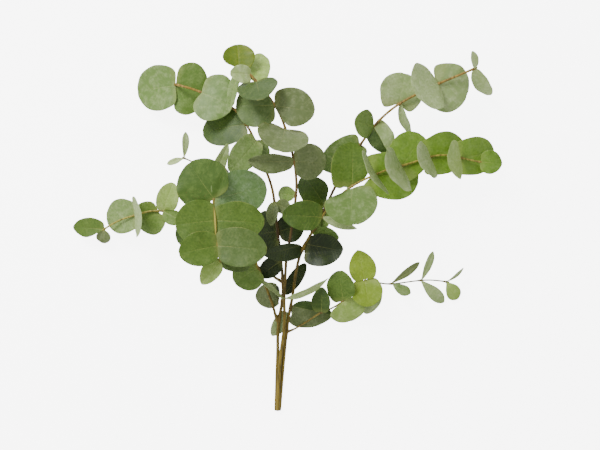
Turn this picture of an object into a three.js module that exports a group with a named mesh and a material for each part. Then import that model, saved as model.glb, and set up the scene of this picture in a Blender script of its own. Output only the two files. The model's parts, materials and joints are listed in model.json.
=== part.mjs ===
// A loose bunch of eucalyptus: three cut stems that lie together at their ends, the side shoots that
// fork from them, and round leaves that sit in opposite pairs along every shoot.
//
// The bunch lies on a surface. X runs across it, +Y runs from the cut ends to the crown, and +Z is up
// from the surface. Everything is in millimetres. The origin is under the middle of the bunch, on the
// surface that it lies on. Two opposite leaves meet in a band round one side of their stem, as the
// clasping young leaves of eucalyptus do, so such a pair is one closed piece.
import * as THREE from "three";

// ---------------------------------------------------------------- driving dimensions
const BLADE_THICKNESS = 0.6;
const STALK_HALF_WIDTH = 0.9; // where a blade meets its stem
const CLEARANCE = 0.4; // between a leaf and the stem that it sits on
const BAND_REACH = 1; // how far the band of a pair runs past each side of the stem
const HALF_GAP = 0.7; // between the lobes of a leaf and the plane midway to the opposite leaf
const STEM_SIDES = 6;
const STEM_STEP = 15; // length of a stem's straight runs
const ROWS = [0, 0.07, 0.25, 0.51, 0.77, 0.93, 1]; // sections of a blade, as shares of its length
const BROAD_COLUMNS = 4; // facets across a broad blade
const SLIM_COLUMNS = 2; // facets across a slim blade

// ---------------------------------------------------------------- leaf forms
// swell: 0.5 is an ellipse, less is squarer, more is pointed. lean: under 1 is widest near the base.
// lobe: how far the sides of the base reach back, as a share of the length. cup: how far the rim
// rises. fold: how steeply the two halves rise from the midrib. arch: how far the middle stands above
// a line from base to tip, as a share of the length. blunt: the width left at the tip. droop: how far
// a lobe sinks, as a share of how far it reaches back.
const FORMS = {
  round: form(0.46, 0.86, 0.13, 0.1, 0, 0.05, 0.2, BROAD_COLUMNS),
  wide: form(0.42, 0.8, 0.14, 0.06, 0.03, 0.03, 0.22, BROAD_COLUMNS),
  clasping: form(0.46, 0.86, 0.34, 0.08, 0, 0.04, 0.2, BROAD_COLUMNS, 0.25),
  upright: form(0.5, 1.02, 0, 0.08, 0, 0.05, 0.2, BROAD_COLUMNS),
  egg: form(0.54, 0.8, 0.08, 0.08, 0.04, 0.04, 0.12, BROAD_COLUMNS),
  pointed: form(0.62, 0.72, 0.14, 0.06, 0.1, 0.06, 0.04, BROAD_COLUMNS),
  folded: form(0.5, 0.88, 0.05, 0, 0.36, 0.03, 0.12, BROAD_COLUMNS),
  spoon: form(0.55, 1.4, 0, 0.1, 0, 0.06, 0.16, SLIM_COLUMNS),
  small: form(0.5, 0.95, 0.04, 0.08, 0, 0.05, 0.2, SLIM_COLUMNS),
  lance: form(0.8, 0.85, 0, 0, 0.15, 0.05, 0.06, SLIM_COLUMNS),
};

function form(swell, lean, lobe, cup, fold, arch, blunt, columns, droop = 0) {
  return { swell, lean, lobe, cup, fold, arch, blunt, columns, droop };
}

// ---------------------------------------------------------------- colours
const FINISHES = {
  bark: { color: 0x8a7a2c, roughness: 0.6 },
  green: { color: 0x6d8f4e, roughness: 0.62 },
  deep: { color: 0x3f5730, roughness: 0.66 },
  fresh: { color: 0x8fa63c, roughness: 0.58 },
  grey: { color: 0x8a9a76, roughness: 0.7 },
};

// ---------------------------------------------------------------- stems
// thick and thin are the radii at a stem's lower end and at its tip. The first three are the cut stems.
// The front and left shoots fork from the left one, the right and lower shoots from the right one,
// and the twig from the front shoot. A shoot's route starts beside the stem that it forks from.
const STEMS = {
  left_stem: {
    thick: 1.8,
    thin: 1.1,
    route: [
      [-12.9, -222, 2.3], [-11.8, -180, 2.8], [-11, -150, 4], [-10.8, -130, 6.5], [-9, -112, 10],
      [-4.5, -82, 18], [-5, -60, 24], [-9, -20, 31], [-13, 15, 35], [-17, 45, 38], [-25, 69, 40],
      [-31, 83, 41], [-38, 103, 42], [-48, 123, 42], [-62, 141, 40], [-80, 151, 38],
      [-102, 162, 34], [-120, 168, 35], [-131, 171, 35], [-134, 172, 31], [-134.3, 172.3, 26],
    ],
  },
  middle_stem: {
    thick: 1.8,
    thin: 1.1,
    route: [
      [-10.9, -222, 5.8], [-8.6, -170, 7.6], [-6.4, -148, 9.5], [-3.6, -128, 13], [-2.6, -105, 19],
      [-3, -88, 27], [-1.5, -60, 32], [0, -38, 36], [5, -10, 43], [10, 25, 48], [12, 52, 52],
      [9, 79, 54], [5, 96, 56], [0, 113, 58], [-5, 128, 60], [-14, 145, 60], [-24, 159, 59],
      [-36, 172, 58], [-45, 183, 57], [-56, 188, 56],
    ],
  },
  right_stem: {
    thick: 1.8,
    thin: 1.1,
    route: [
      [-8.9, -222, 2.3], [-4.5, -170, 2.9], [-2.4, -148, 4.2], [-0.3, -128, 6.5], [2.8, -106, 10],
      [7, -85, 15], [10.5, -60, 20], [17, -32, 26], [31, -6, 29], [45, 20, 30], [60, 51, 32],
      [75, 76, 34], [89, 99, 36], [105, 121, 40], [120, 136, 42], [136, 148, 44], [160, 161, 46],
      [181, 171, 47], [205, 181, 48], [226, 190, 48],
    ],
  },
  front_shoot: {
    thick: 1.4,
    thin: 0.9,
    route: [
      [-12.5, -113, 11], [-15.5, -100, 15], [-20, -86, 21], [-26, -70, 27], [-34, -49, 38],
      [-50, -12, 57], [-64, 20, 73], [-74, 38, 82], [-82, 42, 87], [-84.5, 32, 90],
      [-83, 10, 93], [-80.5, -21, 95], [-77, -39, 91],
    ],
  },
  twig: {
    thick: 0.8,
    thin: 0.6,
    route: [[-66, 24, 70], [-76, 38, 64], [-90, 56, 60], [-106, 74, 56], [-122, 82, 54]],
  },
  left_shoot: {
    thick: 1.2,
    thin: 0.8,
    route: [
      [-8, -66, 22], [-17, -59, 22], [-36, -47, 23], [-70, -20, 26], [-105, 5, 26],
      [-130, 16, 27], [-148, 19, 27], [-166, 19, 25], [-184, 14, 23], [-203, 8, 20],
      [-222, -3, 17],
    ],
  },
  right_shoot: {
    thick: 1.3,
    thin: 0.8,
    route: [
      [19, -27, 30], [26, -14, 37], [34, -2, 45], [43, 13, 52], [57, 30, 57], [73, 45, 60],
      [88, 54, 60], [103, 61, 60], [120, 68, 58], [137, 73, 56], [154, 78, 53], [172, 84, 50],
      [190, 86, 47], [209, 83, 44], [222, 80, 42], [238, 77, 40],
    ],
  },
  lower_shoot: {
    thick: 0.9,
    thin: 0.55,
    route: [
      [3, -128, 8], [20, -118, 14], [42, -104, 17], [56, -98, 18], [69, -89, 19], [83, -75, 20],
      [95, -64, 20], [110, -68, 18], [128, -69, 16], [146, -67, 14], [164, -65, 12],
      [180, -65, 10], [196, -67, 8],
    ],
  },
};

// ---------------------------------------------------------------- leaves
// A leaf row is: tip across, tip along, rise of the tip over its stem, width, roll, form. Roll turns
// the blade about its own midrib, from lying flat. Each piece names its stem and the place on it.
// A pair lists two leaves, and its band passes over the stem, or under it where it says so. The two
// leaves keep apart at their bases, unless the pair is overlapping or one of its leaves is upright.
const LEAVES = {
  crown_left_end_pair: {
    on: "left_stem",
    at: [-134.3, 172.3],
    under: true,
    finish: "green",
    leaves: [[-182, 166, -24, 52, 0, "wide"], [-97, 163, -8, 60, 4, "wide"]],
  },
  crown_left_upper_leaf: {
    on: "left_stem",
    at: [-102, 162],
    finish: "grey",
    leaves: [[-65, 144, 10, 56, -6, "round"]],
  },
  crown_left_lower_leaf: {
    on: "left_stem",
    at: [-49, 124],
    under: true,
    finish: "deep",
    leaves: [[-101, 114, -18, 44, 16, "round"]],
  },
  crown_left_inner_pair: {
    on: "left_stem",
    at: [-38, 103],
    finish: "green",
    leaves: [[-67, 66, 14, 32, -14, "round"], [-33, 77, -20, 28, 10, "egg"]],
  },
  crown_tip_pair: {
    on: "middle_stem",
    at: [-56, 189],
    finish: "fresh",
    leaves: [[-59, 218, -8, 36, 5, "round"], [-68, 137, -3, 13, 25, "lance"]],
  },
  crown_top_pair: {
    on: "middle_stem",
    at: [-36, 172],
    finish: "green",
    leaves: [[-32, 210, -34, 26, 0, "egg"], [-30, 149, 34, 46, 0, "round"]],
  },
  crown_top_leaf: {
    on: "middle_stem",
    at: [-43, 181],
    finish: "grey",
    leaves: [[-66, 182, 16, 21, 6, "round"]],
  },
  crown_middle_pair: {
    on: "middle_stem",
    at: [-14, 145],
    finish: "grey",
    leaves: [[-60, 147, -12, 50, 0, "round"], [33, 136, 4, 44, -6, "round"]],
  },
  crown_hanging_leaf: {
    on: "middle_stem",
    at: [-1, 117],
    finish: "grey",
    leaves: [[-9, 89, 36, 58, 0, "wide"]],
  },
  crown_lower_pair: {
    on: "middle_stem",
    at: [9, 79],
    finish: "grey",
    leaves: [[-45, 79, 3, 26, -35, "folded"], [47, 77, -3, 41, 10, "round"]],
  },
  right_end_pair: {
    on: "right_stem",
    at: [226, 190],
    finish: "green",
    leaves: [[221, 209, 10, 12, 40, "small"], [247, 161, -44, 20, 45, "small"]],
  },
  right_crown_pair: {
    on: "right_stem",
    at: [181, 171],
    under: true,
    finish: "green",
    leaves: [[217, 159, -12, 56, 0, "clasping"], [152, 158, 30, 58, 0, "upright"]],
  },
  right_upper_pair: {
    on: "right_stem",
    overlapping: true,
    at: [136, 148],
    under: true,
    finish: "green",
    leaves: [[142, 184, -4, 50, 12, "clasping"], [152, 109, -20, 16, 55, "lance"]],
  },
  right_middle_pair: {
    on: "right_stem",
    at: [105, 121],
    finish: "deep",
    leaves: [[81, 125, 26, 32, 0, "upright"], [121, 90, 4, 31, -15, "clasping"]],
  },
  right_inner_leaf: {
    on: "right_stem",
    at: [89, 99],
    under: true,
    finish: "green",
    leaves: [[44, 71, -14, 38, -8, "round"]],
  },
  right_front_inner_pair: {
    on: "right_shoot",
    at: [73, 45],
    finish: "fresh",
    leaves: [[80, 101, -17, 44, 10, "round"], [80, 3, 8, 60, -8, "wide"]],
  },
  right_front_upright_pair: {
    on: "right_shoot",
    at: [106, 62],
    under: true,
    finish: "green",
    leaves: [[158, 57, -19, 54, -8, "clasping"], [97, 60, 46, 56, 0, "upright"]],
  },
  right_front_middle_pair: {
    on: "right_shoot",
    at: [137, 73],
    under: true,
    finish: "green",
    leaves: [[162, 110, -14, 48, 8, "clasping"], [119, 61, 54, 54, 0, "upright"]],
  },
  right_front_outer_pair: {
    on: "right_shoot",
    at: [172, 84],
    under: true,
    finish: "green",
    leaves: [[214, 99, -18, 47, 8, "clasping"], [156, 75, 38, 44, 0, "upright"]],
  },
  right_front_end_pair: {
    on: "right_shoot",
    at: [209, 83],
    under: true,
    finish: "green",
    leaves: [[251, 91, -22, 43, 10, "clasping"], [190, 78, 36, 44, 0, "upright"]],
  },
  right_front_tip_leaf: {
    on: "right_shoot",
    at: [233, 78],
    finish: "deep",
    leaves: [[259, 76, -3, 27, 0, "egg"]],
  },
  heart_left_pair: {
    on: "right_shoot",
    at: [43, 13],
    finish: "green",
    leaves: [[-5, 14, 8, 34, 0, "egg"], [84, -2, -4, 12, 20, "lance"]],
  },
  heart_upper_pair: {
    on: "right_stem",
    at: [45, 20],
    under: true,
    finish: "deep",
    leaves: [[22, 62, -16, 40, 30, "round"], [32, -9, -15, 24, 10, "egg"]],
  },
  heart_small_leaf: {
    on: "middle_stem",
    at: [11, 38],
    under: true,
    finish: "fresh",
    leaves: [[-10, 41, -26, 17, 0, "small"]],
  },
  heart_strip_pair: {
    on: "left_stem",
    at: [-15, 29],
    finish: "grey",
    leaves: [[5, 20, 4, 15, 10, "small"], [-18, 2, 12, 13, 10, "small"]],
  },
  heart_dark_pair: {
    on: "left_stem",
    at: [-11, -5],
    under: true,
    finish: "deep",
    leaves: [[-37, -10, -19, 50, 8, "wide"], [21, 3, -8, 33, 0, "egg"]],
  },
  heart_lower_pair: {
    on: "right_stem",
    at: [17, -29],
    finish: "deep",
    leaves: [[-27, -32, 42, 20, -6, "egg"], [68, -26, 4, 37, -6, "folded"]],
  },
  heart_right_leaf: {
    on: "right_stem",
    at: [33, -3],
    under: true,
    finish: "green",
    leaves: [[63, -14, -9, 14, 0, "small"]],
  },
  stem_dark_leaf: {
    on: "left_stem",
    at: [-7, -40],
    finish: "deep",
    leaves: [[-33, -60, -2, 22, 0, "egg"]],
  },
  stem_edge_pair: {
    on: "middle_stem",
    at: [-3, -86],
    finish: "grey",
    leaves: [[-40, -60, 10, 10, 60, "lance"], [50, -62, 6, 16, 60, "lance"]],
  },
  stem_wide_pair: {
    on: "left_stem",
    at: [-4.5, -82],
    under: true,
    finish: "green",
    leaves: [[-38, -86, -15, 29, 0, "egg"], [23, -45, -17, 16, 0, "small"]],
  },
  stem_folded_pair: {
    on: "right_stem",
    at: [2.8, -105],
    under: true,
    finish: "green",
    leaves: [[56, -107, -6, 31, 4, "pointed"], [-18, -133, -9, 18, -12, "egg"]],
  },
  sprig_first_leaf: {
    on: "lower_shoot",
    at: [42, -104],
    finish: "deep",
    leaves: [[43, -73, 10, 22, -12, "egg"]],
  },
  sprig_inner_pair: {
    on: "lower_shoot",
    at: [69, -89],
    finish: "fresh",
    leaves: [[64, -53, 9, 33, -18, "round"], [77, -115, -10, 40, 0, "round"]],
  },
  sprig_bend_pair: {
    on: "lower_shoot",
    at: [95, -64],
    finish: "fresh",
    leaves: [[86, -28, 3, 31, 0, "pointed"], [99, -96, 6, 36, 0, "round"]],
  },
  sprig_under_leaf: {
    on: "lower_shoot",
    at: [103, -66],
    under: true,
    finish: "green",
    leaves: [[97, -106, -14, 30, 0, "egg"]],
  },
  sprig_middle_pair: {
    on: "lower_shoot",
    at: [128, -69],
    finish: "grey",
    leaves: [[161, -43, 2, 9, 20, "spoon"], [150, -81, 4, 11, 20, "spoon"]],
  },
  sprig_outer_pair: {
    on: "lower_shoot",
    at: [164, -65],
    finish: "grey",
    leaves: [[178, -30, 2, 9, 20, "spoon"], [192, -92, -9, 14, 0, "spoon"]],
  },
  sprig_end_pair: {
    on: "lower_shoot",
    at: [195, -67],
    finish: "grey",
    leaves: [[215, -50, 4, 8, 60, "spoon"], [209, -88, -5, 16, 0, "spoon"]],
  },
  left_upright_pair: {
    on: "left_shoot",
    at: [-148, 19],
    finish: "green",
    leaves: [[-137, 53, 4, 25, 0, "round"], [-123, 7, 8, 20, 10, "egg"]],
  },
  left_under_leaf: {
    on: "left_shoot",
    at: [-155, 19],
    under: true,
    finish: "green",
    leaves: [[-180, 1, -14, 40, 0, "round"]],
  },
  left_outer_pair: {
    on: "left_shoot",
    at: [-184, 14],
    under: true,
    finish: "green",
    leaves: [[-220, 13, -19, 40, 0, "round"], [-172, 13, 36, 46, 0, "upright"]],
  },
  left_end_pair: {
    on: "left_shoot",
    at: [-222, -3],
    finish: "green",
    leaves: [[-261, 0, -15, 23, 0, "egg"], [-223, -20, -6, 16, 0, "small"]],
  },
  front_upper_pair: {
    on: "front_shoot",
    overlapping: true,
    at: [-84, 33],
    finish: "deep",
    leaves: [[-113, 75, -1, 60, -11, "round"], [-24, 48, -24, 51, 5, "round"]],
  },
  front_middle_pair: {
    on: "front_shoot",
    at: [-83, 7],
    under: true,
    finish: "green",
    leaves: [[-129, 3, -1, 50, 0, "wide"], [-26, 6, -1, 44, 0, "round"]],
  },
  front_lower_pair: {
    on: "front_shoot",
    at: [-80, -21],
    finish: "green",
    leaves: [[-124, -31, 9, 38, 0, "round"], [-23, -27, 8, 43, 0, "round"]],
  },
  front_end_pair: {
    on: "front_shoot",
    at: [-77, -38],
    under: true,
    finish: "fresh",
    leaves: [[-99, -67, -6, 21, 0, "egg"], [-43, -48, -10, 19, 0, "egg"]],
  },
  front_behind_leaf: {
    on: "front_shoot",
    at: [-74, 32],
    under: true,
    finish: "deep",
    leaves: [[-90, 77, -12, 30, 0, "round"]],
  },
  front_low_leaf: {
    on: "front_shoot",
    at: [-34, -49],
    finish: "green",
    leaves: [[-62, -66, 10, 38, 0, "round"]],
  },
  left_hidden_leaf: {
    on: "left_shoot",
    at: [-108, 6],
    under: true,
    finish: "deep",
    leaves: [[-131, -20, -14, 30, 16, "round"]],
  },
  twig_leaf: {
    on: "twig",
    at: [-90, 56],
    under: true,
    finish: "fresh",
    leaves: [[-70, 99, -9, 16, 34, "egg"]],
  },
  twig_end_pair: {
    on: "twig",
    at: [-122, 82],
    finish: "fresh",
    leaves: [[-120, 113, 2, 8, 20, "spoon"], [-142, 75, 2, 7, 20, "spoon"]],
  },
};

const UP = new THREE.Vector3(0, 0, 1);

// A smooth line through a stem's route.
function axisOf(stem) {
  const points = stem.route.map((point) => new THREE.Vector3(...point));
  return new THREE.CatmullRomCurve3(points, false, "centripetal");
}

// The place on a stem nearest to a point in plan: its middle, its direction and its radius there.
function placeOn(stem, x, y) {
  const samples = 400;
  const axis = axisOf(stem);
  let best = 0;
  let least = Infinity;
  for (let i = 0; i <= samples; i++) {
    const p = axis.getPointAt(i / samples);
    const distance = Math.hypot(p.x - x, p.y - y);
    if (distance < least) {
      least = distance;
      best = i / samples;
    }
  }
  const radius = THREE.MathUtils.lerp(stem.thick, stem.thin, best);
  return { centre: axis.getPointAt(best), along: axis.getTangentAt(best), radius };
}

// A stem: a section with a few sides, drawn along the route and drawn in towards the tip.
function stemGeometry(stem) {
  const axis = axisOf(stem);
  const steps = Math.max(4, Math.round(axis.getLength() / STEM_STEP));
  const section = new THREE.Shape();
  for (let i = 0; i < STEM_SIDES; i++) {
    const angle = (2 * Math.PI * i) / STEM_SIDES;
    section[i ? "lineTo" : "moveTo"](Math.cos(angle), Math.sin(angle));
  }
  const tube = new THREE.ExtrudeGeometry(section, { steps, extrudePath: axis, bevelEnabled: false });
  const centres = axis.getSpacedPoints(steps);
  const position = tube.getAttribute("position");
  const p = new THREE.Vector3();
  for (let i = 0; i < position.count; i++) {
    p.fromBufferAttribute(position, i);
    const ring = centres.reduce((a, c, k) => (c.distanceTo(p) < centres[a].distanceTo(p) ? k : a), 0);
    const radius = THREE.MathUtils.lerp(stem.thick, stem.thin, ring / steps);
    p.sub(centres[ring]).setLength(radius).add(centres[ring]);
    position.setXYZ(i, p.x, p.y, p.z);
  }
  return tube;
}

// The sections of one blade, from its base to its tip. Each holds its points from side to side, the
// direction across it and the direction that its thickness is laid in.
function bladeSections(base, leaf, columns) {
  const [x, y, rise, width, roll, formName] = leaf;
  const shape = FORMS[formName];
  const tip = new THREE.Vector3(x, y, base.stemHeight + rise);
  const along = tip.clone().sub(base.point);
  const length = along.length();
  along.normalize();
  const turn = THREE.MathUtils.degToRad(roll);
  const across = UP.clone().cross(along).normalize().applyAxisAngle(along, turn);
  const face = along.clone().cross(across);
  return ROWS.map((t) => {
    const swell = Math.sin(Math.PI * t ** shape.lean) ** shape.swell;
    const ends = { 0: STALK_HALF_WIDTH, 1: (width / 2) * shape.blunt };
    const half = ends[t] ?? (width / 2) * swell;
    const bow = 4 * t * (1 - t);
    const points = [];
    for (let i = 0; i <= columns; i++) {
      const s = (2 * i) / columns - 1;
      const back = shape.lobe * Math.abs(s) ** 3 * (1 - t) ** 3 * Math.min(1, t * 15);
      const forward = length * (t - back);
      const bulge = bow * (shape.arch * length + (shape.cup * width * s * s) / 2);
      const lift = bulge - shape.droop * back * length;
      const point = base.point.clone()
        .addScaledVector(along, forward)
        .addScaledVector(across, half * s)
        .addScaledVector(face, lift + shape.fold * half * Math.abs(s));
      points.push(base.out ? heldBack(point, base) : point);
    }
    return { points, across, face };
  });
}

// A point of a blade, kept on its own side of the plane midway between two opposite leaves.
function heldBack(point, base) {
  const gap = point.clone().sub(base.middle).dot(base.out) - HALF_GAP;
  const kept = HALF_GAP * Math.log(1 + Math.exp(gap / HALF_GAP));
  return point.addScaledVector(base.out, kept - gap);
}

// The same section seen from the other side, so that neighbouring sections join without a twist.
function turnedOver(section) {
  return {
    points: [...section.points].reverse(),
    across: section.across.clone().negate(),
    face: section.face.clone().negate(),
  };
}

function mirrored(section) {
  return {
    points: [...section.points].reverse(),
    across: section.across.clone().negate(),
    face: section.face,
  };
}

// A closed plate of even thickness through a row of sections.
function plateGeometry(sections) {
  const columns = sections[0].points.length;
  const ring = 2 * columns;
  const vertices = [];
  for (const { points, face } of sections) {
    const half = BLADE_THICKNESS / 2;
    const upper = points.map((p) => p.clone().addScaledVector(face, half));
    const lower = points.map((p) => p.clone().addScaledVector(face, -half)).reverse();
    for (const p of [...upper, ...lower]) vertices.push(p.x, p.y, p.z);
  }
  const faces = [];
  for (let row = 0; row + 1 < sections.length; row++) {
    const here = sections[row].points;
    const next = sections[row + 1].points;
    for (let i = 0; i < ring; i++) {
      const j = (i + 1) % ring;
      const [a, b] = [row * ring + i, row * ring + j];
      const [c, d] = [i, j].map((k) => Math.min(k, ring - 1 - k));
      const shorter = next[c].distanceTo(here[d]) < here[c].distanceTo(next[d]);
      if (shorter) faces.push(a, a + ring, b, b, a + ring, b + ring);
      else faces.push(a, a + ring, b + ring, a, b + ring, b);
    }
  }
  const last = (sections.length - 1) * ring;
  for (let i = 0; i + 1 < columns; i++) {
    const j = ring - 1 - i;
    faces.push(i, i + 1, j, j, i + 1, j - 1);
    faces.push(last + i, last + j, last + i + 1, last + j, last + j - 1, last + i + 1);
  }
  const geometry = new THREE.BufferGeometry();
  geometry.setAttribute("position", new THREE.Float32BufferAttribute(vertices, 3));
  geometry.setIndex(faces);
  return geometry;
}

// The direction from a stem's middle to a leaf, square to the stem.
function outward(place, leaf) {
  const tip = new THREE.Vector3(leaf[0], leaf[1], place.centre.z + leaf[2]);
  return tip.sub(place.centre).projectOnPlane(place.along).normalize();
}

function columnsOf(leaves) {
  return Math.max(...leaves.map((leaf) => FORMS[leaf[5]].columns));
}

function singleLeaf(place, piece) {
  const [leaf] = piece.leaves;
  const side = piece.under ? -1 : 1;
  const away = outward(place, leaf).addScaledVector(UP, 0.8 * side).projectOnPlane(place.along);
  const point = place.centre.clone().addScaledVector(
    away.normalize(),
    place.radius + CLEARANCE + BLADE_THICKNESS / 2,
  );
  const base = { point, stemHeight: place.centre.z };
  return plateGeometry(bladeSections(base, leaf, columnsOf(piece.leaves)));
}

// Two opposite leaves: both blades, and the band between them that clasps one side of the stem.
function leafPair(place, piece) {
  const [first, second] = piece.leaves;
  const columns = columnsOf(piece.leaves);
  const over = outward(place, first).sub(outward(place, second)).normalize();
  const face = place.along.clone().cross(over);
  const side = face.z * (piece.under ? -1 : 1) < 0 ? -1 : 1;
  const stand = place.radius + CLEARANCE + BLADE_THICKNESS / 2;
  const middle = place.centre.clone().addScaledVector(face, side * stand);
  const reach = place.radius + BAND_REACH;
  const apart = !(piece.overlapping || first[5] === "upright" || second[5] === "upright");
  const bases = [reach, -reach].map((r) => ({
    point: middle.clone().addScaledVector(over, r),
    stemHeight: place.centre.z,
    middle,
    out: apart ? over.clone().multiplyScalar(Math.sign(r)) : null,
  }));
  const band = { points: [], across: place.along, face };
  for (let i = 0; i <= columns; i++) {
    const s = (2 * i) / columns - 1;
    band.points.push(middle.clone().addScaledVector(place.along, STALK_HALF_WIDTH * s));
  }
  const follows = (section) => section.face.dot(band.face) + section.across.dot(band.across) >= 0;
  let lower = bladeSections(bases[0], first, columns).reverse().map(mirrored);
  if (!follows(lower.at(-1))) lower = lower.map(turnedOver);
  let upper = bladeSections(bases[1], second, columns);
  if (!follows(upper[0])) upper = upper.map(turnedOver);
  return plateGeometry([...lower, band, ...upper]);
}

function meshOf(name, geometry, finish) {
  const mesh = new THREE.Mesh(geometry, new THREE.MeshStandardMaterial(FINISHES[finish]));
  mesh.name = name;
  return mesh;
}

function stems() {
  const group = new THREE.Group();
  for (const [name, stem] of Object.entries(STEMS)) {
    group.add(meshOf(name, stemGeometry(stem), "bark"));
  }
  return group;
}

function leaves() {
  const group = new THREE.Group();
  for (const [name, piece] of Object.entries(LEAVES)) {
    const place = placeOn(STEMS[piece.on], ...piece.at);
    const make = piece.leaves.length === 2 ? leafPair : singleLeaf;
    group.add(meshOf(name, make(place, piece), piece.finish));
  }
  return group;
}

// The whole bunch, moved so that the origin is under its middle, on the surface that it lies on.
const bunch = new THREE.Group();
bunch.add(stems(), leaves());
const box = new THREE.Box3().setFromObject(bunch, true);
const middle = box.getCenter(new THREE.Vector3());
for (const child of bunch.children) child.position.set(-middle.x, -middle.y, -box.min.z);

export default bunch;
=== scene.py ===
import bpy
import heapq
import json
import math
import random
import numpy as np
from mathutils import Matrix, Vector
from mathutils.bvhtree import BVHTree

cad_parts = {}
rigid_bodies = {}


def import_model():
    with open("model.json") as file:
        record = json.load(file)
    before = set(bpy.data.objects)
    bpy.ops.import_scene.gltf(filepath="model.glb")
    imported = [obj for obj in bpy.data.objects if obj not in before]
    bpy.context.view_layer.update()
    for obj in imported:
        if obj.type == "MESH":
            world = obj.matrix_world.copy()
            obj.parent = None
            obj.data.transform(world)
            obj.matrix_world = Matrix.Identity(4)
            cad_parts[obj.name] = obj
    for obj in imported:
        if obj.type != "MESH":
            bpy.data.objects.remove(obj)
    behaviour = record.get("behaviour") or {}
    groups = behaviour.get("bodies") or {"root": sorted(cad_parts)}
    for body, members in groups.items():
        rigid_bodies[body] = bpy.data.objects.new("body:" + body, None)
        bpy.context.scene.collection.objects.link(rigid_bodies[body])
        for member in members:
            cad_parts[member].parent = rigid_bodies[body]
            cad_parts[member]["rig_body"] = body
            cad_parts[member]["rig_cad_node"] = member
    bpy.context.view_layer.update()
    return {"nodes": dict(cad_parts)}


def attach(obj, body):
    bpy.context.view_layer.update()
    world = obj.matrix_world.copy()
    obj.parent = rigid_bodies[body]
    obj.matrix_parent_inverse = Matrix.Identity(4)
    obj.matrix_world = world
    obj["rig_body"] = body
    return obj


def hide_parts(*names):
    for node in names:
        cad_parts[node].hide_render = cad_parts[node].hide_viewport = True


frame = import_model()
MM = 0.001

# -------------------------------------------------- camera
# The bunch lies on a table, and the camera looks straight down on it from two metres up, with the
# cut ends at the bottom of the view and the crown at the top.
VIEW_WIDTH = 720 * MM  # what the frame takes in, across, at the middle of the bunch's depth
VIEW_CENTRE = (17.2 * MM, 4.2 * MM, 40 * MM)
CAMERA_RISE = 2.0
SENSOR = 36
VIEW_DEPTH = 20

bpy.ops.object.camera_add(location=VIEW_CENTRE, rotation=(0, 0, 0))
camera = bpy.context.object
camera.name = "camera"
camera.location.z += CAMERA_RISE
camera.data.sensor_width = SENSOR
camera.data.lens = SENSOR * CAMERA_RISE / VIEW_WIDTH
camera.data.clip_end = VIEW_DEPTH
bpy.context.scene.camera = camera

# -------------------------------------------------- floor and light
# A plain white studio table lit from within, a soft light from beyond the crown, a wider one from
# the left and a white surround. The table glows brightly only where it is looked at, so that it
# throws little light on the undersides of the leaves.
FLOOR_SIZE = 24
FLOOR_DROP = 0.5 * MM
FLOOR_COLOUR = (0.9, 0.9, 0.9, 1)
GLOW_ON_THE_LEAVES = 0.35
GLOW_TO_THE_EYE = 7.0
SURROUND_STRENGTH = 0.7

bpy.ops.mesh.primitive_plane_add(size=FLOOR_SIZE, location=(0, 0, -FLOOR_DROP))
floor = bpy.context.object
floor.name = "floor"
floor_paint = bpy.data.materials.new("floor_paint")
floor_paint.use_nodes = True
floor_shader = floor_paint.node_tree.nodes["Principled BSDF"]
floor_shader.inputs["Base Color"].default_value = FLOOR_COLOUR
floor_shader.inputs["Roughness"].default_value = 0.9
floor_shader.inputs["Emission Color"].default_value = FLOOR_COLOUR
seen_directly = floor_paint.node_tree.nodes.new("ShaderNodeLightPath")
table_glow = floor_paint.node_tree.nodes.new("ShaderNodeMapRange")
table_glow.inputs["To Min"].default_value = GLOW_ON_THE_LEAVES
table_glow.inputs["To Max"].default_value = GLOW_TO_THE_EYE
join = floor_paint.node_tree.links.new
join(seen_directly.outputs["Is Camera Ray"], table_glow.inputs["Value"])
join(table_glow.outputs["Result"], floor_shader.inputs["Emission Strength"])
floor.data.materials.append(floor_paint)


def soft_light(name, place, size, power):
    """A square soft box at a place, turned to the middle of the bunch."""
    bpy.ops.object.light_add(type="AREA", location=place)
    light = bpy.context.object
    light.name = name
    light.data.size = size
    light.data.energy = power
    light.rotation_euler = (-Vector(place)).to_track_quat("-Z", "Y").to_euler()
    return light


soft_light("key_light", (-0.9, 1.3, 1.3), 0.7, 38)
soft_light("fill_light", (-1.6, -0.6, 1.8), 1.6, 10)

surround = bpy.data.worlds.new("surround")
surround.use_nodes = True
backdrop = surround.node_tree.nodes["Background"]
backdrop.inputs["Color"].default_value = (1, 1, 1, 1)
backdrop.inputs["Strength"].default_value = SURROUND_STRENGTH
bpy.context.scene.world = surround

# -------------------------------------------------- stems and shoots
# Three woody stems, cut clean across at their lower ends, and the shoots that fork from them. The
# bark is thin and smooth, olive yellow at the foot, brown half way up and tan at the tips, with a
# swelling at each joint where a pair of leaves or a shoot has grown. On the woody stems the dark
# brown low down and half way up is partly their own bark and partly painted shade, where they run
# under the leaves.
STEM_NAMES = ["left_stem", "middle_stem", "right_stem", "front_shoot", "left_shoot", "right_shoot",
              "lower_shoot", "twig"]
LEAF_NAMES = sorted(set(frame["nodes"]) - set(STEM_NAMES))
FORKS = {
    "front_shoot": "left_stem", "left_shoot": "left_stem", "right_shoot": "right_stem",
    "lower_shoot": "right_stem", "twig": "front_shoot",
}
BARK_THICKNESS = 0.25 * MM
SWELLING = 0.6 * MM
SWELLING_REACH = 2.6 * MM
FORK_REACH = 6 * MM
FOOT_SWELLING = 0.2 * MM
FOOT_LENGTH = 110 * MM
COLLAR_SWELLING = 0.7 * MM
FORK_CLOSING = 1.35  # how far a shoot's start goes into its parent, against the gap between them
JOIN_DISTANCE = 0.02 * MM
CUT_DEPTH = 1.5 * MM
STEM_FINISH = {
    "left_stem": "woody", "middle_stem": "woody", "right_stem": "woody", "front_shoot": "green",
    "left_shoot": "green", "right_shoot": "green", "lower_shoot": "thin", "twig": "thin",
}
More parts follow.
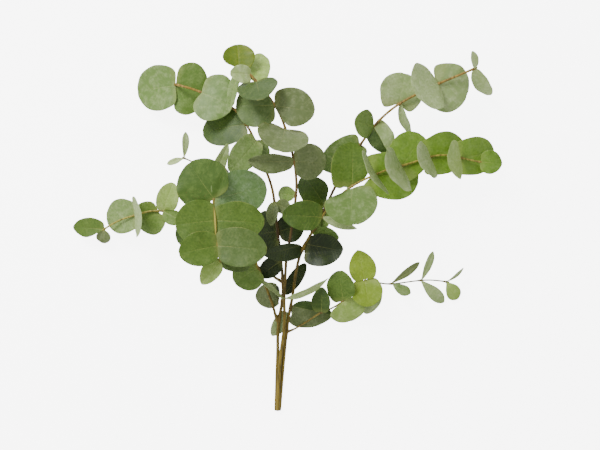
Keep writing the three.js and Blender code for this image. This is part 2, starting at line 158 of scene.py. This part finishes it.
BARKS = {  # colour at the foot, half way up, and at the tip
    # the woody middle colour is dark brown, partly bark and partly painted shade under the leaves
    "woody": ((0.27, 0.19, 0.02), (0.085, 0.05, 0.012), (0.38, 0.24, 0.045)),
    "green": ((0.22, 0.16, 0.02), (0.40, 0.33, 0.05), (0.42, 0.37, 0.06)),
    "thin": ((0.24, 0.18, 0.03), (0.17, 0.15, 0.045), (0.17, 0.17, 0.07)),
}
JOINT_COLOUR = (0.17, 0.085, 0.025)
CUT_WOOD = (0.5, 0.42, 0.25)


def only(obj):
    """Selects one object and nothing else, and makes it the active one."""
    bpy.ops.object.select_all(action="DESELECT")
    obj.select_set(True)
    bpy.context.view_layer.objects.active = obj


def positions(mesh):
    co = np.zeros(len(mesh.vertices) * 3)
    mesh.vertices.foreach_get("co", co)
    return co.reshape(-1, 3)


def place_vertices(mesh, co):
    mesh.vertices.foreach_set("co", np.ascontiguousarray(co).ravel())
    mesh.update()


def merged_copy(node, name):
    """A copy of a frame node, with its loose triangles joined and paired into four-sided faces."""
    piece = frame["nodes"][node].copy()
    piece.data = piece.data.copy()
    piece.name = name
    piece.data.name = name
    bpy.context.scene.collection.objects.link(piece)
    piece.data.materials.clear()
    only(piece)
    bpy.ops.object.mode_set(mode="EDIT")
    bpy.ops.mesh.select_all(action="SELECT")
    bpy.ops.mesh.remove_doubles(threshold=JOIN_DISTANCE)
    bpy.ops.mesh.tris_convert_to_quads(face_threshold=math.pi, shape_threshold=math.pi)
    bpy.ops.object.mode_set(mode="OBJECT")
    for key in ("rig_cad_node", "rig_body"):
        if key in piece:
            del piece[key]
    return piece


def smooth_through(piece, levels, held):
    """Rounds a piece with a subdivision surface that still passes through the piece's own corners.
    held is 1 for a corner that the surface meets, and 0 for one that it only follows."""
    corners = positions(piece.data)
    count = len(corners)
    rounding = piece.modifiers.new("rounding", "SUBSURF")
    rounding.levels = rounding.render_levels = 1
    guide = corners.copy()
    for _ in range(3):
        place_vertices(piece.data, guide)
        bpy.context.view_layer.update()
        rounded = piece.evaluated_get(bpy.context.evaluated_depsgraph_get())
        reached = positions(rounded.data)[:count]
        guide += (corners - reached) * held[:, None]
    place_vertices(piece.data, guide)
    rounding.levels = rounding.render_levels = levels
    only(piece)
    bpy.ops.object.modifier_apply(modifier="rounding")
    bpy.ops.object.shade_smooth()


def surface_of(node):
    mesh = frame["nodes"][node].data
    return BVHTree.FromPolygons([v.co for v in mesh.vertices], [p.vertices for p in mesh.polygons])


stem_surfaces = {name: surface_of(name) for name in STEM_NAMES}


def seat_of(node):
    """The stem that a leaf piece sits on, and the piece's nearest point to it."""
    corners = {tuple(round(c, 6) for c in v.co) for v in frame["nodes"][node].data.vertices}
    best = (1.0, None, None)
    for stem, surface in stem_surfaces.items():
        for corner in sorted(corners):
            gap = surface.find_nearest(Vector(corner))[3]
            if gap < best[0]:
                best = (gap, stem, corner)
    return best[1], np.array(best[2])


seats = {name: seat_of(name) for name in LEAF_NAMES}


def fork_of(shoot):
    """The point of the parent stem where a shoot starts, and the shoot's corner nearest to it."""
    parent = stem_surfaces[FORKS[shoot]]
    corners = {tuple(round(c, 6) for c in v.co) for v in frame["nodes"][shoot].data.vertices}
    gap, start = min((parent.find_nearest(Vector(corner))[3], corner) for corner in sorted(corners))
    return np.array(parent.find_nearest(Vector(start))[0]), np.array(start)


forks = {name: fork_of(name) for name in FORKS}


def bark(name, foot, middle, tip):
    """Thin bark, older at the foot and greener at the tip, with long darker streaks. The dark brown
    low down and half way up the woody stems is partly painted shade.
    """
    material = bpy.data.materials.new("bark_" + name)
    material.use_nodes = True
    tree = material.node_tree
    shader = tree.nodes["Principled BSDF"]
    coords = tree.nodes.new("ShaderNodeTexCoord")
    stretch = tree.nodes.new("ShaderNodeMapping")
    stretch.inputs["Scale"].default_value = (420, 60, 420)
    tree.links.new(coords.outputs["Object"], stretch.inputs["Vector"])
    streaks = tree.nodes.new("ShaderNodeTexNoise")
    streaks.inputs["Scale"].default_value = 1.0
    streaks.inputs["Detail"].default_value = 6
    tree.links.new(stretch.outputs["Vector"], streaks.inputs["Vector"])
    share_from_foot = tree.nodes.new("ShaderNodeAttribute")
    share_from_foot.attribute_name = "share_from_foot"
    # foot, middle and tip colours along the stem; the woody middle is dark brown, partly painted
    # shade
    ramp = tree.nodes.new("ShaderNodeValToRGB")
    ramp.color_ramp.elements[0].position = 0.22
    ramp.color_ramp.elements[0].color = (*foot, 1)
    ramp.color_ramp.elements[1].position = 0.88
    ramp.color_ramp.elements[1].color = (*tip, 1)
    ramp.color_ramp.elements.new(0.5).color = (*middle, 1)
    tree.links.new(share_from_foot.outputs["Fac"], ramp.inputs["Fac"])
    darker = tree.nodes.new("ShaderNodeMapRange")
    darker.inputs["From Min"].default_value = 0.36
    darker.inputs["From Max"].default_value = 0.6
    darker.inputs["To Min"].default_value = 0.4
    tree.links.new(streaks.outputs["Fac"], darker.inputs["Value"])
    streaked = tree.nodes.new("ShaderNodeVectorMath")
    streaked.operation = "SCALE"
    tree.links.new(ramp.outputs["Color"], streaked.inputs[0])
    tree.links.new(darker.outputs["Result"], streaked.inputs["Scale"])
    joint = tree.nodes.new("ShaderNodeAttribute")
    joint.attribute_name = "joint"
    redden = tree.nodes.new("ShaderNodeMix")
    redden.data_type = "RGBA"
    redden.inputs[7].default_value = (*JOINT_COLOUR, 1)
    tree.links.new(joint.outputs["Fac"], redden.inputs[0])
    tree.links.new(streaked.outputs[0], redden.inputs[6])
    tree.links.new(redden.outputs[2], shader.inputs["Base Color"])
    bump = tree.nodes.new("ShaderNodeBump")
    bump.inputs["Strength"].default_value = 0.25
    bump.inputs["Distance"].default_value = 0.3 * MM
    tree.links.new(streaks.outputs["Fac"], bump.inputs["Height"])
    tree.links.new(bump.outputs["Normal"], shader.inputs["Normal"])
    shader.inputs["Roughness"].default_value = 0.5
    shader.inputs["Specular IOR Level"].default_value = 0.35
    return material


def cut_wood():
    """The pale end grain of a fresh cut, mottled with a fine noise."""
    material = bpy.data.materials.new("cut_wood")
    material.use_nodes = True
    tree = material.node_tree
    shader = tree.nodes["Principled BSDF"]
    coords = tree.nodes.new("ShaderNodeTexCoord")
    grain = tree.nodes.new("ShaderNodeTexNoise")
    grain.inputs["Scale"].default_value = 900
    grain.inputs["Detail"].default_value = 4
    tree.links.new(coords.outputs["Object"], grain.inputs["Vector"])
    ramp = tree.nodes.new("ShaderNodeValToRGB")
    ramp.color_ramp.elements[0].color = (*[c * 0.6 for c in CUT_WOOD], 1)
    ramp.color_ramp.elements[1].color = (*CUT_WOOD, 1)
    tree.links.new(grain.outputs["Fac"], ramp.inputs["Fac"])
    tree.links.new(ramp.outputs["Color"], shader.inputs["Base Color"])
    shader.inputs["Roughness"].default_value = 0.8
    return material


bark_finishes = {name: bark(name, *colours) for name, colours in BARKS.items()}
cut_finish = cut_wood()


def grow_stem(name):
    """Rounds a stem, swells it at its joints, and gives the flat faces at its lower end the cut
    wood finish.
    """
    piece = merged_copy(name, name + "_bark")
    corners = positions(piece.data)
    smooth_through(piece, 3, np.ones(len(corners)))
    co = positions(piece.data)
    normals = np.array([v.normal for v in piece.data.vertices])
    joints = [point for stem, point in seats.values() if stem == name]
    joint = np.zeros(len(co))
    for point in joints:
        distance = np.linalg.norm(co - point, axis=1)
        joint = np.maximum(joint, np.exp(-((distance / SWELLING_REACH) ** 2)))
    collar = np.zeros(len(co))
    for shoot, (foot, start) in forks.items():
        if name in (shoot, FORKS[shoot]):
            near = np.exp(-((np.linalg.norm(co - foot, axis=1) / FORK_REACH) ** 2))
            collar = np.maximum(collar, near)
        if name == shoot:
            co += np.outer(near, FORK_CLOSING * (foot - start))
    foot = co[np.argmin(co[:, 1])] if name.endswith("stem") else forks[name][1]
    reach = np.linalg.norm(co - foot, axis=1)
    stout = FOOT_SWELLING * np.clip(2 - 2 * reach / FOOT_LENGTH, 0, 1) * name.endswith("stem")
    growth = BARK_THICKNESS + stout + joint * SWELLING + collar * COLLAR_SWELLING
    co += normals * growth[:, None]
    place_vertices(piece.data, co)
    mark = piece.data.attributes.new("joint", "FLOAT", "POINT")
    mark.data.foreach_set("value", np.maximum(0.4 * joint, 0.25 * collar))
    foot_share = piece.data.attributes.new("share_from_foot", "FLOAT", "POINT")
    foot_share.data.foreach_set("value", reach / reach.max())
    piece.data.materials.append(bark_finishes[STEM_FINISH[name]])
    piece.data.materials.append(cut_finish)
    lowest = co[:, 1].min()
    for face in piece.data.polygons:
        at_the_cut = face.normal.y < -0.8 and face.center.y < lowest + CUT_DEPTH
        if at_the_cut and name.endswith("stem"):
            face.material_index = 1
    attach(piece, "root")
    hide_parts(name)
    return piece


for name in STEM_NAMES:
    grow_stem(name)

# -------------------------------------------------- leaves
# Round young leaves, leathery and half a millimetre thick, which sit in opposite pairs and clasp
# their stem. Each has a pale midrib, fine side veins that leave it at an open angle, a thin yellow
# rim, and a waxy bloom that is thick on some leaves and rubbed off others. The palest tones also
# paint the whitish sheen that the bloom shows on blades seen edge-on, and the darkest ones also
# paint the shade on leaves that lie under others.
UV_TILE = 100 * MM  # one unit of a leaf's map
MIDRIB_DEPTH = 0.3 * MM
MIDRIB_WIDTH = 0.9 * MM
MIDRIB_SHARE = 0.0055
BASE_REACH = 1.4 * MM  # how far the two bases of a pair close over their stem
BASE_DIP = 0.9 * MM
VEIN_SPACING = 0.043  # of one unit of the leaf's map
RIM_COLOUR = (0.34, 0.34, 0.08)
VEIN_COLOUR = (0.5, 0.48, 0.12)
SPOT_COLOUR = (0.16, 0.075, 0.02)
BASE_COLOUR = (0.38, 0.4, 0.1)
UNDERSIDE_COLOUR = (0.30, 0.36, 0.21)
# tone: seen side, its darker patches, its bloom, how much bloom, spots
TONES = {
    # mist and pale: a pale waxy bloom, and also a painted sheen of the bloom on blades seen edge-on
    "mist": ((0.468, 0.600, 0.224), (0.360, 0.488, 0.157), (0.648, 0.750, 0.381), 0.50, 0.05),
    "pale": ((0.354, 0.459, 0.179), (0.256, 0.360, 0.118), (0.525, 0.608, 0.307), 0.50, 0.05),
    "fresh": ((0.348, 0.490, 0.110), (0.252, 0.384, 0.068), (0.480, 0.608, 0.200), 0.40, 0.05),
    "waxy": ((0.205, 0.305, 0.085), (0.135, 0.230, 0.048), (0.350, 0.450, 0.185), 0.50, 0.12),
    "mid": ((0.161, 0.262, 0.046), (0.107, 0.198, 0.029), (0.246, 0.348, 0.099), 0.40, 0.15),
    "sea": ((0.140, 0.246, 0.072), (0.094, 0.182, 0.045), (0.254, 0.371, 0.188), 0.50, 0.12),
    "moss": ((0.087, 0.144, 0.026), (0.057, 0.105, 0.015), (0.150, 0.211, 0.065), 0.45, 0.15),
    "green": ((0.088, 0.160, 0.014), (0.052, 0.110, 0.008), (0.140, 0.222, 0.038), 0.30, 0.18),
    "bright": ((0.177, 0.316, 0.027), (0.116, 0.235, 0.017), (0.246, 0.380, 0.083), 0.20, 0.10),
    "lime": ((0.271, 0.396, 0.020), (0.192, 0.294, 0.014), (0.350, 0.468, 0.077), 0.20, 0.20),
    "spotted": ((0.140, 0.195, 0.001), (0.080, 0.140, 0.001), (0.200, 0.240, 0.004), 0.20, 0.60),
    "ash": ((0.153, 0.200, 0.066), (0.107, 0.148, 0.043), (0.249, 0.296, 0.138), 0.50, 0.10),
    # deep, dark and shadow: the leaves' own dark green, and also painted shade on leaves under
    # others
    "deep": ((0.060, 0.107, 0.019), (0.037, 0.074, 0.010), (0.107, 0.158, 0.043), 0.30, 0.05),
    "dark": ((0.056, 0.112, 0.008), (0.034, 0.073, 0.005), (0.098, 0.154, 0.022), 0.25, 0.04),
    "shadow": ((0.023, 0.043, 0.005), (0.013, 0.026, 0.003), (0.046, 0.070, 0.013), 0.20, 0.00),
    "sprig": ((0.165, 0.213, 0.065), (0.112, 0.151, 0.041), (0.251, 0.291, 0.131), 0.40, 0.10),
}


def leaf_finish(name, seen, patch, bloom, bloom_share, spots):
    """The skin of a leaf in one tone. It reads the leaf's own map: across in X, along in Y."""
    material = bpy.data.materials.new("leaf_" + name)
    material.use_nodes = True
    tree = material.node_tree
    nodes, links = tree.nodes, tree.links
    shader = nodes["Principled BSDF"]

    def colour_mix(share, first, second):
        mix = nodes.new("ShaderNodeMix")
        mix.data_type = "RGBA"
        links.new(share, mix.inputs[0])
        for socket, value in ((mix.inputs[6], first), (mix.inputs[7], second)):
            if isinstance(value, tuple):
                socket.default_value = (*value, 1)
            else:
                links.new(value, socket)
        return mix.outputs[2]

    def math_node(operation, first, second=0.0, third=0.0):
        node = nodes.new("ShaderNodeMath")
        node.operation = operation
        for socket, value in zip(node.inputs, (first, second, third)):
            if isinstance(value, float):
                socket.default_value = value
            else:
                links.new(value, socket)
        return node.outputs[0]

    def between(value, low, high):
        """0 at low, 1 at high, smooth between."""
        node = nodes.new("ShaderNodeMapRange")
        node.interpolation_type = "SMOOTHSTEP"
        links.new(value, node.inputs["Value"])
        node.inputs["From Min"].default_value = low
        node.inputs["From Max"].default_value = high
        return node.outputs["Result"]

    def attribute(label):
        node = nodes.new("ShaderNodeAttribute")
        node.attribute_name = label
        return node.outputs["Fac"]

    def noise(vector, scale, detail):
        node = nodes.new("ShaderNodeTexNoise")
        node.inputs["Scale"].default_value = scale
        node.inputs["Detail"].default_value = detail
        links.new(vector, node.inputs["Vector"])
        return node.outputs["Fac"]

    place = nodes.new("ShaderNodeTexCoord").outputs["Object"]
    leaf_map = nodes.new("ShaderNodeUVMap")
    leaf_map.uv_map = "leaf_map"
    split = nodes.new("ShaderNodeSeparateXYZ")
    links.new(leaf_map.outputs["UV"], split.inputs[0])
    across = math_node("ABSOLUTE", split.outputs["X"])
    along = split.outputs["Y"]

    tint = attribute("tint")
    broad = math_node("ADD", noise(place, 26.0, 3.0), math_node("MULTIPLY", tint, 0.25))
    colour = colour_mix(between(broad, 0.38, 0.72), seen, patch)
    waxy = between(noise(place, 75.0, 6.0), 0.62 - 0.3 * bloom_share, 0.8)
    colour = colour_mix(math_node("MULTIPLY", waxy, 0.35 + 0.6 * bloom_share), colour, bloom)

    # side veins run forward from the midrib, each an uneven thin line, a little paler than the skin
    wander = math_node("MULTIPLY", noise(place, 55.0, 3.0), 0.11)
    run = math_node("ADD", math_node("SUBTRACT", along, math_node("MULTIPLY", across, 0.6)), wander)
    wave = math_node("SINE", math_node("MULTIPLY", run, 2 * math.pi / VEIN_SPACING))
    broken = between(noise(place, 90.0, 2.0), 0.4, 0.65)
    side_vein = math_node("MULTIPLY", between(wave, 0.8, 1.0), broken)
    fading = between(attribute("end"), 1.0, 0.15)
    midrib = math_node("MULTIPLY", between(across, MIDRIB_SHARE, MIDRIB_SHARE * 0.25), fading)
    vein = math_node("MAXIMUM", math_node("MULTIPLY", side_vein, 0.4), midrib)
    pale_vein = tuple(min(1, 0.5 * c + 0.5 * v) for c, v in zip(bloom, VEIN_COLOUR))
    colour = colour_mix(math_node("MULTIPLY", vein, 0.5), colour, pale_vein)

    # the bloom lies in fine patches, with the bare skin showing between them
    mottle = between(noise(place, 170.0, 5.0), 0.42, 0.7)
    colour = colour_mix(math_node("MULTIPLY", mottle, 0.4 + 0.2 * bloom_share), colour, bloom)
    fine = between(noise(place, 420.0, 5.0), 0.42, 0.66)
    colour = colour_mix(math_node("MULTIPLY", fine, 0.6), colour, patch)

    rim = between(attribute("rim"), 0.965, 1.0)
    colour = colour_mix(math_node("MULTIPLY", rim, 0.55), colour, RIM_COLOUR)
    cells = nodes.new("ShaderNodeTexVoronoi")
    cells.inputs["Scale"].default_value = 330.0
    links.new(place, cells.inputs["Vector"])
    speck = between(cells.outputs["Distance"], 0.22, 0.1)
    where = between(noise(place, 42.0, 2.0), 0.56 - 0.2 * spots, 0.66 - 0.2 * spots)
    speck = math_node("MULTIPLY", math_node("MULTIPLY", speck, where), min(1.0, 0.15 + spots * 1.6))
    colour = colour_mix(speck, colour, SPOT_COLOUR)
    base_glow = between(along, 0.07, 0.0)
    colour = colour_mix(math_node("MULTIPLY", base_glow, 0.2), colour, BASE_COLOUR)
    under = between(attribute("upper"), 0.55, 0.45)
    underside = tuple(0.45 * c + 0.55 * u for c, u in zip(seen, UNDERSIDE_COLOUR))
    colour = colour_mix(math_node("MULTIPLY", under, 0.8), colour, underside)
    links.new(colour, shader.inputs["Base Color"])

    # a fine grain with the veins sunk in it, on a surface that rises and falls gently
    height = math_node("SUBTRACT", noise(place, 700.0, 3.0), math_node("MULTIPLY", vein, 0.6))
    height = math_node("ADD", height, math_node("MULTIPLY", noise(place, 38.0, 2.0), 14.0))
    bump = nodes.new("ShaderNodeBump")
    bump.inputs["Strength"].default_value = 0.35
    bump.inputs["Distance"].default_value = 0.25 * MM
    links.new(height, bump.inputs["Height"])
    links.new(bump.outputs["Normal"], shader.inputs["Normal"])
    roughness = nodes.new("ShaderNodeMapRange")
    roughness.inputs["To Min"].default_value = 0.48
    roughness.inputs["To Max"].default_value = 0.72
    links.new(waxy, roughness.inputs["Value"])
    links.new(roughness.outputs["Result"], shader.inputs["Roughness"])
    shader.inputs["Specular IOR Level"].default_value = 0.35
    return material


leaf_finishes = {name: leaf_finish(name, *values) for name, values in TONES.items()}


def walk_lengths(mesh, co, start):
    """The shortest way along the edges from one corner to every other."""
    ways = [[] for _ in co]
    for edge in mesh.edges:
        a, b = edge.vertices
        length = float(np.linalg.norm(co[a] - co[b]))
        ways[a].append((b, length))
        ways[b].append((a, length))
    reached = np.full(len(co), 1e9)
    reached[start] = 0
    queue = [(0.0, start)]
    while queue:
        distance, at = heapq.heappop(queue)
        if distance > reached[at]:
            continue
        for other, length in ways[at]:
            if distance + length < reached[other]:
                reached[other] = distance + length
                heapq.heappush(queue, (distance + length, other))
    return reached


def blades_of(mesh, co, seat, count):
    """For each corner of a leaf piece, the blade that it belongs to, and the middle of each tip."""
    reach = np.linalg.norm(co - seat, axis=1)
    at_seat = int(np.argmin(reach))
    first = int(np.argmax(reach))
    labels = np.zeros(len(co), int)
    if count == 2:
        walked = walk_lengths(mesh, co, first)
        second = int(np.argmax(walked))
        back = walk_lengths(mesh, co, second)
        labels = (walked - walked[at_seat] > back - back[at_seat]).astype(int)
    tips = []
    for blade in range(count):
        points = co[labels == blade]
        onward = (points - seat) @ (points.mean(0) - seat)
        ring = max(4, len(points) // 7)
        tips.append(points[np.argsort(onward)[-ring:]].mean(0))
    return labels, tips


def blade_axes(points, seat, tip):
    """A blade's own directions: along the midrib, across it, and up from its seen side."""
    along = (tip - seat) / np.linalg.norm(tip - seat)
    flat = (points - seat) - np.outer((points - seat) @ along, along)
    across = np.linalg.svd(flat - flat.mean(0), full_matrices=False)[2][0]
    across /= np.linalg.norm(across)
    up = np.cross(along, across)
    if up[2] < 0:
        across, up = -across, -up
    return along, across, up


SIDES = {"left": (-1, 0), "right": (1, 0), "top": (0, 1), "bottom": (0, -1)}


def grow_leaf(name, **tones):
    """Rounds a leaf piece, marks each blade's map, and works in its midrib and its wavy rim. A pair
    gives the tone of each blade by its side of the stem, and a single leaf gives one tone. A tone
    can be two, for the halves of a folded blade on either side of its midrib: one half lit and one
    in painted shade, so the darker of the two tones paints the shade on the half turned from the
    light."""
    chance = random.Random(name)
    piece = merged_copy(name, name + "_blades" if len(tones) == 2 else name + "_blade")
    mesh = piece.data
    seat = seats[name][1]
    corners = positions(mesh)
    labels, tips = blades_of(mesh, corners, seat, len(tones))
    if len(tones) == 2:
        facing = Vector((tips[0] - tips[1])[:2]).dot(Vector(SIDES[list(tones)[0]]))
        if facing < 0:
            labels, tips = 1 - labels, tips[::-1]
    mesh.attributes.new("blade", "FLOAT", "POINT").data.foreach_set("value", labels.astype(float))
    held = np.clip((np.linalg.norm(corners - seat, axis=1) / MM - 3) / 4, 0, 1)
    smooth_through(piece, 3, held)
    co = positions(mesh)
    owner = np.zeros(len(co))
    mesh.attributes["blade"].data.foreach_get("value", owner)
    owner = (owner > 0.5).astype(int)
    mesh.attributes.remove(mesh.attributes["blade"])
    normals = np.array([v.normal for v in mesh.vertices])
    x, y, rim, upper, tint, ends = (np.zeros(len(co)) for _ in range(6))
    for blade, tip in enumerate(tips):
        mine = owner == blade
        along, across, up = blade_axes(corners[labels == blade], seat, tip)
        if len(tips) == 2:
            # the two bases of a pair meet over the stem
            away = (tip - tips[1 - blade]) / np.linalg.norm(tip - tips[1 - blade])
            gap = (co[mine] - seat) @ away
            co[mine] -= np.outer(BASE_REACH * np.exp(-((gap / (6 * MM)) ** 2)), away)
            co[mine] -= np.outer(BASE_DIP * np.exp(-((gap / (3 * MM)) ** 2)), up)
        offset = co[mine] - seat
        u = offset @ across
        v = offset @ along
        length = np.linalg.norm(tip - seat)
        bins = np.clip((v / length * 16).astype(int), 0, 15)
        widest = [np.abs(u[bins == b]).max() if (bins == b).any() else MM for b in range(16)]
        half = np.interp(v / length * 16, np.arange(16) + 0.5, widest)
        share = np.clip(np.abs(u) / np.maximum(half, MM), 0, 1)
        end = np.clip(v / v.max(), 0, 1)
        rim[mine] = np.maximum(share, end ** 2)
        x[mine], y[mine], ends[mine] = u / UV_TILE, v / UV_TILE, end
        upper[mine] = 0.5 + 0.5 * (normals[mine] @ up)
        tint[mine] = chance.uniform(-1, 1)
        # a wavy rim, a slight twist, and the midrib pressed in
        phase, waves = chance.uniform(0, 6.28), chance.uniform(1.5, 2.6)
        swing = chance.uniform(0.5, 1.1) * MM * min(1, half.max() / (18 * MM))
        side = np.sign(u)
        lift = swing * share ** 2 * np.sin(waves * 2 * math.pi * end + phase + 1.3 * side)
        lift *= np.clip(v / (10 * MM), 0, 1)
        groove = MIDRIB_DEPTH * np.exp(-((u / MIDRIB_WIDTH) ** 2)) * np.clip(v / (4 * MM), 0, 1)
        groove *= np.clip((1 - end) * 6, 0, 1)
        co[mine] += np.outer(lift - groove, up)
    place_vertices(mesh, co)
    for label, values in (("rim", rim), ("upper", upper), ("tint", tint), ("end", ends)):
        mesh.attributes.new(label, "FLOAT", "POINT").data.foreach_set("value", values)
    while mesh.uv_layers:
        mesh.uv_layers.remove(mesh.uv_layers[0])
    leaf_map = mesh.uv_layers.new(name="leaf_map")
    loops = np.zeros(len(mesh.loops), int)
    mesh.loops.foreach_get("vertex_index", loops)
    leaf_map.data.foreach_set("uv", np.stack([x[loops], y[loops]], 1).ravel())
    halves = [tone if isinstance(tone, tuple) else (tone, tone) for tone in tones.values()]
    for tone in (half for pair in halves for half in pair):
        mesh.materials.append(leaf_finishes[tone])
    # each half of a folded blade takes its own tone: the lit half, and the half in painted shade
    for face in mesh.polygons:
        blade = int(owner[face.vertices[0]])
        face.material_index = 2 * blade + int(sum(x[i] for i in face.vertices) < 0)
    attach(piece, "root")
    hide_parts(name)
    return piece


# -------------------------------------------------- leaves of the left stem's crown
# The left stem bends over to the left at the top. Its end pair lies open like wings, and the leaves
# below it stand one over another.
grow_leaf("crown_left_end_pair", left="waxy", right="mid")
grow_leaf("crown_left_upper_leaf", blade="waxy")
grow_leaf("crown_left_lower_leaf", blade="dark")
grow_leaf("crown_left_inner_pair", left="waxy", right="waxy")

# -------------------------------------------------- leaves of the middle stem's crown
# The middle stem ends in the youngest leaf of the bunch, yellow green with brown spots. The pairs
# below it hang towards the viewer and have a grey bloom.
grow_leaf("crown_tip_pair", top="spotted", bottom="waxy")
grow_leaf("crown_top_pair", top="fresh", bottom="deep")
grow_leaf("crown_top_leaf", blade="mist")
grow_leaf("crown_middle_pair", left="moss", right="ash")
grow_leaf("crown_hanging_leaf", blade="ash")
grow_leaf("crown_lower_pair", left="ash", right="ash")

# -------------------------------------------------- leaves of the right stem's crown
# The right stem leans far out. Its pairs are seen half from the edge, with a pale waxy bloom on the
# blades that face up; their pale and mist tones also paint the whitish sheen of the bloom edge-on.
grow_leaf("right_end_pair", top="mist", bottom="mist")
grow_leaf("right_crown_pair", left="pale", right="pale")
grow_leaf("right_upper_pair", top="pale", bottom="pale")
# the right blade is folded; its deep half is the half in painted shade
grow_leaf("right_middle_pair", left="mid", right=("pale", "deep"))
grow_leaf("right_inner_leaf", blade="waxy")

# -------------------------------------------------- leaves of the right shoot
# The right shoot runs out level to the right. Of each pair, one blade lies flat and is bright
# green, and the other stands up on edge and shows its pale waxy side, its pale tone partly a
# painted sheen that the bloom shows edge-on.
grow_leaf("right_front_inner_pair", top="green", bottom="waxy")
grow_leaf("right_front_upright_pair", right="bright", left="pale")
grow_leaf("right_front_middle_pair", right="bright", left="pale")
grow_leaf("right_front_outer_pair", right="bright", left="pale")
grow_leaf("right_front_end_pair", right="bright", left="fresh")
grow_leaf("right_front_tip_leaf", blade="bright")

# -------------------------------------------------- leaves in the heart of the bunch
# The leaves in the middle, where the stems cross, are the darkest and lie the furthest down. Their
# dark and shadow tones are partly their own older green and partly painted shade.
grow_leaf("heart_left_pair", left="dark", right="pale")
grow_leaf("heart_upper_pair", top="dark", bottom="mid")
grow_leaf("heart_small_leaf", blade="mid")
grow_leaf("heart_strip_pair", right="ash", left="ash")
grow_leaf("heart_dark_pair", left="shadow", right="shadow")
grow_leaf("heart_lower_pair", left="shadow", right="shadow")
grow_leaf("heart_right_leaf", blade="mid")

# -------------------------------------------------- leaves low on the stems
# A few leaves are left low down. Most are seen from the edge or folded, above the bare cut stems.
# the shadow tone here and on the wide pair's right blade is partly painted shade
grow_leaf("stem_dark_leaf", blade="shadow")
grow_leaf("stem_edge_pair", left="pale", right="mist")
grow_leaf("stem_wide_pair", left="ash", right="shadow")
# the right blade is folded; its dark half is the half in painted shade
grow_leaf("stem_folded_pair", right=("dark", "ash"), left="pale")

# -------------------------------------------------- leaves of the lower shoot
# The thin lower shoot bends out to the right. Its inner leaves are round and bright, and the ones
# beyond the bend are small, slim and grey green.
grow_leaf("sprig_first_leaf", blade="dark")
grow_leaf("sprig_inner_pair", top="green", bottom="fresh")
grow_leaf("sprig_bend_pair", top="lime", bottom="lime")
grow_leaf("sprig_under_leaf", blade="pale")
grow_leaf("sprig_middle_pair", top="sprig", bottom="waxy")
grow_leaf("sprig_outer_pair", top="pale", bottom="pale")
grow_leaf("sprig_end_pair", top="pale", bottom="fresh")

# -------------------------------------------------- leaves of the left shoot
# The left shoot runs out level to the left, behind the front one, and its leaves grow smaller.
grow_leaf("left_upright_pair", top="fresh", bottom="mid")
grow_leaf("left_under_leaf", blade="mid")
grow_leaf("left_outer_pair", left="waxy", right="pale")
grow_leaf("left_end_pair", left="green", right="ash")
grow_leaf("left_hidden_leaf", blade="green")

# -------------------------------------------------- leaves of the front shoot
# The front shoot stands up towards the viewer and hangs over at its end. Its three broad pairs lie
# open, one below another, and hide the shoot.
grow_leaf("front_upper_pair", left="green", right="sea")
grow_leaf("front_middle_pair", left="green", right="green")
grow_leaf("front_lower_pair", left="green", right="moss")
grow_leaf("front_end_pair", left="fresh", right="moss")
grow_leaf("front_behind_leaf", blade="deep")
grow_leaf("front_low_leaf", blade="mid")

# -------------------------------------------------- leaves of the twig
# A thin twig behind the front shoot carries one slim leaf and two narrow ones at its end.
grow_leaf("twig_leaf", blade="mist")
grow_leaf("twig_end_pair", top="pale", left="mist")
